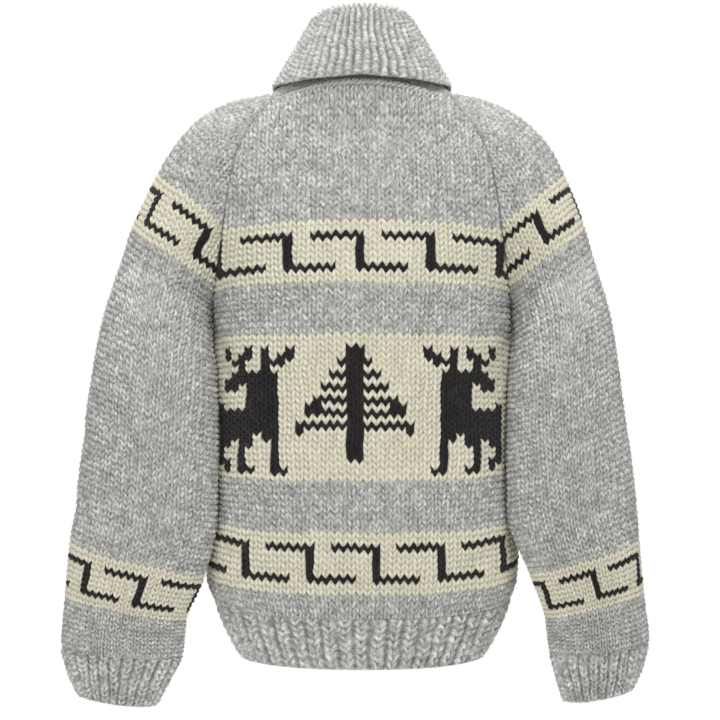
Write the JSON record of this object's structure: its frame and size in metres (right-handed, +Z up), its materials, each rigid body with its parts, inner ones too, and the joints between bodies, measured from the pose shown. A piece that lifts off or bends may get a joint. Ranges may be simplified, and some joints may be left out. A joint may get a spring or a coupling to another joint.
{
  "type": "cowichan cardigan",
  "caption": "Bulky hand-knit raglan cardigan with a fold-over rib collar, front zip, banded geometric and animal patterns, shown filled out as worn.",
  "frame": {"origin": "middle of the neck base, at the height of the nape seam, where the wearer's shoulders and neck hold the garment", "axes": "+Z up, -Y the wearer's front with the zip, +X the wearer's left"},
  "size_m": [0.643, 0.2651, 0.7702],
  "materials": {
    "wool": "bulky wool yarn in stocking stitch, grey marl with ivory and charcoal figures",
    "rib_wool": "bulky grey marl wool in rib stitch",
    "zip_cloth": "woven charcoal tape with nickel teeth",
    "nickel": "satin nickel"
  },
  "bodies": {
    "cardigan": {"back": "wool", "front_left": "wool", "front_right": "wool", "sleeve_left": "wool", "sleeve_right": "wool", "hem_rib_back": "rib_wool", "hem_rib_left": "rib_wool", "hem_rib_right": "rib_wool", "cuff_left": "rib_wool", "cuff_right": "rib_wool", "collar": "rib_wool", "zip_tape_left": "zip_cloth", "zip_tape_right": "zip_cloth", "zip_slider": "nickel", "zip_stop": "nickel"},
    "pull": {"zip_pull": "nickel"}
  },
  "joints": [
    {"name": "pull_swing", "type": "hinge", "parent": "cardigan", "child": "pull", "pos_m": [0, -0.10573, -0.08919], "axis": [-1, 0, 0], "range_deg": [0, 110]}
  ]
}
